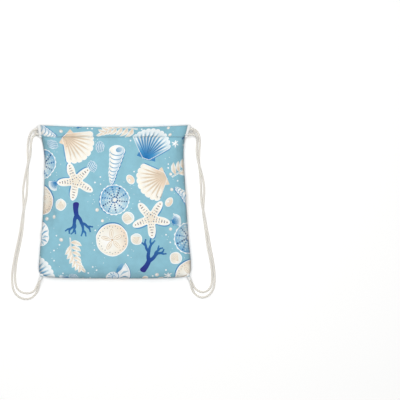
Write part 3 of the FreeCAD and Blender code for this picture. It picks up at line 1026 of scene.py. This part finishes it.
def ruffle():
    """A small ruffled shell drawn with curved pale lines."""
    size = (14, 11)
    rim = polar(lambda a: (0.96 + 0.05 * math.sin(9 * a)) * wobble(22, 0.15)(a), count=44)
    shapes = [(rim * size, plain((214, 230, 240))), (rim * 0.91 * size, plain((130, 180, 206)))]
    for k in range(5):
        v = -0.75 + k * 0.38
        half = math.sqrt(1 - v * v) * 0.84
        line = [(-half, v - 0.08), (-half * 0.3, v + 0.14), (half * 0.35, v + 0.02), (half, v - 0.12)]
        shapes.append((stroke(line * np.array(size), (0.8, 1.9, 1.7, 0.8), 12), plain((220, 234, 242))))
    return shapes


def sprig_star():
    """Six short strokes from one point."""
    rnd = random.Random(31)
    shapes = []
    for k in range(6):
        a, length = k * math.pi / 3 + rnd.uniform(-0.15, 0.15), rnd.uniform(8.5, 12)
        line = [(0, 0), direction(a + 0.12) * length / 2, direction(a) * length]
        shapes.append((stroke(line, (2.0, 3.8, 1.4), 8), plain(WHITE)))
    return shapes


def small_fan():
    return placed(blue_scallop(), (0, 0), 0, 0.33)


def big_pearl():
    tint = linear((0, -8), (0, 8), (0, PEACH), (1, CREAM))
    ovals = (
        ((0, 0), 11.5, 9.2, plain(WHITE)), ((0, 0), 10.2, 8, tint),
        ((1, 1.4), 5, 3.4, plain((224, 222, 216))), ((0, 2.6), 2.6, 1.8, plain(WHITE)),
    )
    return [(ellipse(c, wide, high, 0, 26), colour) for c, wide, high, colour in ovals]


def pearl():
    light = ellipse((0.6, 1.0), 2.2, 2.0, 0, 10)
    return [(ellipse((0, 0), 4.4, 4.4, 0, 16), plain((232, 224, 214))), (light, plain(WHITE))]


def bubble():
    return [(ellipse((0, 0), 2.0, 1.9, 0, 10), plain(WHITE))]


def speck():
    return [(ellipse((0, 0), 1.0, 0.9, 0, 8), plain((226, 240, 244)))]


LARGE = (
    blue_scallop, starfish, sprig, urchin, nautilus, cream_scallop, lambda: coral(4), auger, sand_dollar,
)
SMALL = (cockle, ruffle, sprig_star, small_fan, big_pearl)
COLUMN_STEP = 97
ROW_STEP = 94
LARGE_ROOM = 44             # radius that other motifs keep clear of
# For each kind of filler: its radius, how often a free place is looked for, and the motifs that take turns
FILLERS = ((12, 900, SMALL), (6, 110, (pearl,)), (4, 260, (bubble,)), (2.4, 700, (speck,)))


def print_shapes():
    """The print: large motifs on a half-drop grid, small ones in the gaps that are left."""
    rnd = random.Random(29)
    shapes, taken = [], []
    for column in range(5):
        for row in range(5):
            x = -194 + COLUMN_STEP * column + rnd.uniform(-5, 5)
            y = -186 + ROW_STEP * (row + column % 2 / 2) + rnd.uniform(-5, 5)
            make = LARGE[(2 * column + 4 * row) % len(LARGE)]
            shapes += placed(make(), (x, y), rnd.uniform(0, 360), rnd.uniform(1.02, 1.16))
            taken.append((x, y, LARGE_ROOM))
    for room, tries, makers in FILLERS:
        for _ in range(tries):
            x, y = rnd.uniform(-205, 205), rnd.uniform(-205, 245)
            if all(math.hypot(x - a, y - b) > room + r for a, b, r in taken):
                make = makers[len(taken) % len(makers)]
                shapes += placed(make(), (x, y), rnd.uniform(0, 360), rnd.uniform(0.85, 1.1))
                taken.append((x, y, room))
    return shapes


def enclosed(points, outline):
    """Which points an outline goes round, also where it crosses itself."""
    result = np.zeros(len(points), bool)
    low, high = outline.min(0), outline.max(0)
    near = np.nonzero(((points >= low) & (points <= high)).all(axis=1))[0]
    if not len(near):
        return result
    x, y = points[near].T
    turns = np.zeros(len(near), int)
    for a, b in zip(outline, np.roll(outline, -1, axis=0)):
        left = (b[0] - a[0]) * (y - a[1]) - (x - a[0]) * (b[1] - a[1]) > 0
        turns += ((a[1] <= y) & (b[1] > y) & left).astype(int)
        turns -= ((a[1] > y) & (b[1] <= y) & ~left).astype(int)
    result[near] = turns != 0
    return result


def painted_seam_shade(points):
    """Painted shade that the print is multiplied by: darker along the side and bottom seams, where the
    filled cloth turns down, and a little darker on a casing.
    """
    side = cut_half(np.clip(points[..., 1], CUT_LOW, FOLD_Y)) - np.abs(points[..., 0])
    foot = points[..., 1] - CUT_LOW
    # painted shade, a little darker over the whole casing
    folded = CASING_PAINTED_SHADE * ease((points[..., 1] - FOLD_Y + 5) / 5)
    return 1 - SEAM_PAINTED_SHADE * np.exp(-np.maximum(np.minimum(side, foot), 0) / SEAM_REACH) - folded


def printed_mesh(name, sheet, outline, shapes, spacing):
    """Cloth cut to an outline and printed. The shapes' outlines become edges of the mesh."""
    outline = np.asarray(outline, float)
    low, high = outline.min(0) + spacing * 0.5, outline.max(0) - spacing * 0.4
    xs = np.arange(low[0], high[0], spacing)
    ys = np.arange(low[1], high[1], spacing)
    cloud = np.array([(x, y) for y in ys for x in xs])
    verts = [outline, cloud]
    count = len(outline) + len(cloud)
    faces = [list(range(len(outline)))]
    colours = [plain(GROUND)]
    for points, colour in shapes:
        below = points.max(0) < outline.min(0) - spacing
        above = points.min(0) > outline.max(0) + spacing
        if below.any() or above.any():
            continue
        verts.append(points)
        faces.append(list(range(count, count + len(points))))
        colours.append(colour)
        count += len(points)
    every = np.vstack(verts)
    edges = [(face[k - 1], face[k]) for face in faces for k in range(len(face))]
    made = delaunay_2d_cdt([Vector(v) for v in every.tolist()], edges, [], 0, 1e-4, False)
    flat = np.array([v[:] for v in made[0]])
    triangles = np.array(made[2])
    middles = flat[triangles].mean(axis=1)
    inside = enclosed(middles, outline)
    triangles, middles = triangles[inside], middles[inside]
    owners = np.zeros(len(triangles), int)
    for owner, face in enumerate(faces[1:], 1):
        owners[enclosed(middles, every[face])] = owner
    used = np.unique(triangles)
    order = np.full(len(flat), -1)
    order[used] = np.arange(len(used))
    flat, triangles = flat[used], order[triangles]
    corners = flat[triangles]
    paint = np.zeros((len(triangles), 3, 4))
    paint[..., 3] = 1
    for owner in np.unique(owners):
        mine = owners == owner
        # each shape's colours times the painted shade along the seams and on the casings
        paint[mine, :, :3] = colours[owner](corners[mine]) * painted_seam_shade(corners[mine])[..., None]
    mesh = bpy.data.meshes.new(name)
    mesh.from_pydata((sheet.at(flat[:, 0], flat[:, 1]) * MM).tolist(), [], triangles.tolist())
    set_attribute(mesh, "flat", "FLOAT_VECTOR", "POINT", np.column_stack([flat, np.zeros(len(flat))]))
    set_attribute(mesh, "print", "FLOAT_COLOR", "CORNER", np.clip(paint, 0, 1))
    print(f"{name}: {len(triangles)} triangles, {len(faces)} shapes")
    return mesh


def level(x, y):
    """Points at the places x on one height y."""
    return np.stack([x, np.full_like(x, y)], 1)


def panel_outline():
    """The flat pattern's edge, with points close enough for its rounded corners."""
    corner_y = CUT_LOW + CUT_CORNER
    y = np.concatenate([np.linspace(CUT_LOW, corner_y, 12)[:-1], np.linspace(corner_y, FOLD_Y, 70)])
    right = np.stack([cut_half(y), y], 1)
    left = right[::-1] * (-1, 1)
    foot = np.linspace(-cut_half(CUT_LOW), cut_half(CUT_LOW), 62)[1:-1]
    top = np.linspace(cut_half(FOLD_Y), -cut_half(FOLD_Y), 72)[1:-1]
    return np.vstack([level(foot, CUT_LOW), right, level(top, FOLD_Y), left])


def casing_outline(length):
    x = np.linspace(-CASING_HALF, CASING_HALF, 90)
    y = np.linspace(FOLD_Y, FOLD_Y + length, 24)[1:-1]
    right = level(y, CASING_HALF)[:, ::-1]
    left = level(y[::-1], -CASING_HALF)[:, ::-1]
    return np.vstack([level(x, FOLD_Y), right, level(x[::-1], FOLD_Y + length), left])


# ---------------------------------------------------------------- small sewn parts

# Each ring of a hem: how far out it lies, and its width and height as shares of the casing's end
HEM_PROFILE = (
    (-1.5, 1.05, 1.12), (0.5, 1.06, 1.16), (2.5, 1.05, 1.13), (4.6, 1.02, 1.08), (5.2, 0.99, 1.0),
)
HEM_ROUND = 64.0            # length of tape round a casing's end


def make_hem(name, casing, end, material):
    """A white hem round one end of a casing."""
    column = casing.grid[:, -1 if end > 0 else 0]
    middle = (column.max(0) + column.min(0)) / 2
    rings = []
    for out, wide, thick in HEM_PROFILE:
        ring = column.copy()
        ring[:, 1] = middle[1] + (ring[:, 1] - middle[1]) * wide
        ring[:, 2] = middle[2] + (ring[:, 2] - middle[2]) * thick
        ring[:, 0] += end * out
        ring[:, 1] = np.minimum(ring[:, 1], MOUTH_Y + 0.4)
        rings.append(ring[:-1])
    points = np.array(rings)
    flat = flat_rows([p[0] for p in HEM_PROFILE], np.linspace(0, HEM_ROUND, points.shape[1]))
    mesh = flat_mesh(name, points, grid_faces(*points.shape[:2], True, 0), flat)
    outward = 1 if name.startswith("front") else -1
    if end * outward > 0:
        mesh.flip_normals()
    thicken(sewn_piece(name, "tape", mesh, [material]), TAPE)


THREAD_SIDES = 6


def stitch(points, radius):
    """One stitch: a short round thread through a few points, with closed ends."""
    points = np.array(points, float)
    tangent = np.gradient(points, axis=0)
    tangent /= np.linalg.norm(tangent, axis=1)[:, None]
    up = np.array([0.0, 0.0, 1.0])
    across = np.cross(tangent, up)
    across /= np.linalg.norm(across, axis=1)[:, None]
    angle = np.linspace(0, 2 * np.pi, THREAD_SIDES, endpoint=False)
    ring = across[:, None, :] * np.cos(angle)[None, :, None] + up * np.sin(angle)[None, :, None]
    return points[:, None, :] + ring * radius


def threads(name, lines, radius, material):
    """Many stitches as one piece."""
    verts, faces, flat = [], [], []
    for line in lines:
        rings = stitch(line, radius)
        rows, sides = rings.shape[:2]
        faces += tube_faces(rows, sides, len(verts))
        verts += rings.reshape(-1, 3).tolist()
        flat += [(j, i * 1.5, 0.0) for i in range(rows) for j in range(sides)]
    sewn_piece(name, "threads", flat_mesh(name, verts, faces, flat), [material])


def casing_stitches(which, casing, material):
    """The row of stitches along a casing's lower edge, sunk a little into the cloth."""
    outward = 1 if which == "front" else -1
    lines = []
    pitch, long, end_gap = 4.0, 2.9, 7
    count = int(2 * (CASING_HALF - end_gap) / pitch)
    for i in range(count):
        x = -(count - 1) / 2 * pitch + i * pitch
        xs = x + np.linspace(-long / 2, long / 2, 5)
        line = casing.at(xs, np.full(5, FOLD_Y + 2.6))
        line[:, 2] += outward * np.array([-0.35, 0.12, 0.2, 0.12, -0.35])
        lines.append(line)
    threads(f"{which}_casing_stitching", lines, 0.28, material)


def make_seam(name, edge, inward, material):
    """A turned-in seam edge: a doubled strip of cloth that hangs into the bag from the seam line."""
    width, length = 8.0, 340.0
    rows = []
    for share in (0.05, 0.35, 0.7, 1.0):
        line = edge + inward * width * share
        line[:, 2] -= 1.2 * share * (1 + 0.4 * np.sin(line[:, 1] * 0.11 + line[:, 0] * 0.09))
        rows.append(line)
    points = np.array(rows)
    flat = flat_rows(np.linspace(0, width, 4), np.linspace(0, length, points.shape[1]))[..., (1, 0, 2)]
    mesh = flat_mesh(name, points, grid_faces(*points.shape[:2], False, 0), flat)
    thicken(sewn_piece(name, "edge", mesh, [material]), TAPE, 0.0)


SLEEVE = 17.2               # drawn length of a tab's sleeve


def make_tab(name, side, material):
    """A folded tape sleeve, flat where it is sewn in and open where the two strands leave it."""
    tip = np.array([side * TAB_TIP[0], TAB_TIP[1], SEAM_Z])
    root = np.array([side * TAB_ROOT[0], TAB_ROOT[1], SEAM_Z])
    along = (tip - root) / np.linalg.norm(tip - root)
    across = np.array([-along[1], along[0], 0.0])
    # How far along each ring lies, and its half width and half height: outside first, then back inside
    stations = [(-9.0, 4.4, 1.0), (-3.0, 4.4, 1.4), (2.0, 4.2, 3.0), (6.0, 3.8, 5.4), (9.0, 3.7, 6.3)]
    stations += [(9.0 + 0.45 * k, 3.72, 6.35) for k in range(1, 18)]
    stations += [(SLEEVE, 3.5, 6.15), (SLEEVE, 2.95, 5.6), (16.4, 2.8, 5.45)]
    stations += [(9.5, 2.75, 5.4), (8.4, 1.2, 3.0)]
    stretch = np.linalg.norm(tip - root) / SLEEVE
    sides = 32
    angle = np.linspace(0, 2 * np.pi, sides, endpoint=False)
    rings, flat = [], []
    for place, half_wide, half_high in stations:
        rib = 0.16 * math.sin(place * math.pi / 0.9) if 9 < place < SLEEVE and half_wide > 3.6 else 0.0
        c, s = np.cos(angle), np.sin(angle)
        y = np.sign(c) * np.abs(c) ** 0.75 * (half_wide + rib)
        z = np.sign(s) * np.abs(s) ** 0.8 * (half_high + rib)
        middle = root + along * place * stretch
        rings.append(middle + across * y[:, None] + np.array([0, 0, 1.0]) * z[:, None])
        flat.append([(float(a) * 4.5, place, 0.0) for a in angle])
    mesh = flat_mesh(name, rings, tube_faces(len(stations), sides, 0), flat)
    if side > 0:
        mesh.flip_normals()
    sewn_piece(name, "sleeve", mesh, [material])
    return root, along, across


def tack_lines(centre, along, across):
    """A bar tack across a tab: close parallel stitches."""
    width, pitch, lift = 5.4, 0.6, 0.3
    lines = []
    for k in range(-2, 3):
        middle = centre + along * k * pitch
        ends = np.array([middle + across * width * f for f in (-0.5, -0.25, 0.0, 0.25, 0.5)])
        ends[:, 2] += np.array([-lift, lift, lift * 1.1, lift, -lift])
        lines.append(ends)
    return lines


def mouth_tack_lines(low, top):
    """A bar tack from the back panel to the front one: close stitches, bowed towards the mouth."""
    pitch = 0.7
    bow = ((0, 0.3), (0.5, 0.9), (1, 0.3))
    return [[low + (top - low) * f + (pitch * k, out, 0) for f, out in bow] for k in range(-3, 4)]


# ---------------------------------------------------------------- assembly

def make_bag():
    front_grid, back_grid = settled_bag()
    front, back = Sheet(front_grid, panel_cells), Sheet(back_grid, panel_cells)
    cloth = cloth_material("printed_cloth", True)
    reverse = cloth_material("cloth_reverse", False)
    tape = tape_material("white_tape", (246, 247, 246), 0.9)
    seam_cloth = tape_material("seam_cloth", (222, 230, 232), 1.4)
    thread = thread_material()
    shapes = print_shapes()
    turned_shapes = placed(shapes, (0, 0), 180, 1)

    def cloth_piece(name, sheet, outline, drawn, spacing):
        mesh = printed_mesh(name, sheet, outline, drawn, spacing)
        if name.startswith("back"):
            mesh.flip_normals()
        piece = sewn_piece(name, "cloth", mesh, [cloth, reverse])
        thicken(piece, CLOTH, reverse_material=1)
        return piece

    for which, sheet, drawn in (("front", front, shapes), ("back", back, turned_shapes)):
        piece = cloth_piece(f"{which}_panel", sheet, panel_outline(), drawn, PANEL_SPACING)

        casing, length = make_casing_sheet(which, sheet)
        piece = cloth_piece(f"{which}_casing", casing, casing_outline(length), drawn, CASING_SPACING)
        casing_stitches(which, casing, thread)
        for end, word in ((-1, "left"), (1, "right")):
            make_hem(f"{which}_hem_{word}", casing, end, tape)

    rows = np.linspace(CUT_LOW + CUT_CORNER, FOLD_Y - 4, 60)
    for side, word in ((-1, "left"), (1, "right")):
        edge = front.at(side * cut_half(rows), rows)
        make_seam(f"{word}_side_seam", edge, np.array([-side, 0.0, 0.0]), seam_cloth)
        root, along, across = make_tab(f"{word}_tab", side, tape)
        centre = root + along * 7.0
        centre[2] += 5.6
        threads(f"{word}_tab_tack", tack_lines(centre, along, across), 0.24, thread)
        corner_y = FOLD_Y - 2
        corner_x = side * (cut_half(corner_y) - 3.5)
        top, low = (sheet.at([corner_x], [corner_y])[0] for sheet in (front, back))
        threads(f"{word}_mouth_tack", mouth_tack_lines(low, top), 0.32, thread)
    xs = np.linspace(-0.9, 0.9, 60) * cut_half(CUT_LOW + 1)
    make_seam("bottom_seam", front.at(xs, np.full_like(xs, CUT_LOW)), np.array([0.0, 1.0, 0.0]), seam_cloth)


make_stage()
cotton = cord_material()
for cord_name in CORD_ENDS:
    make_cord(cord_name, cotton)
make_bag()
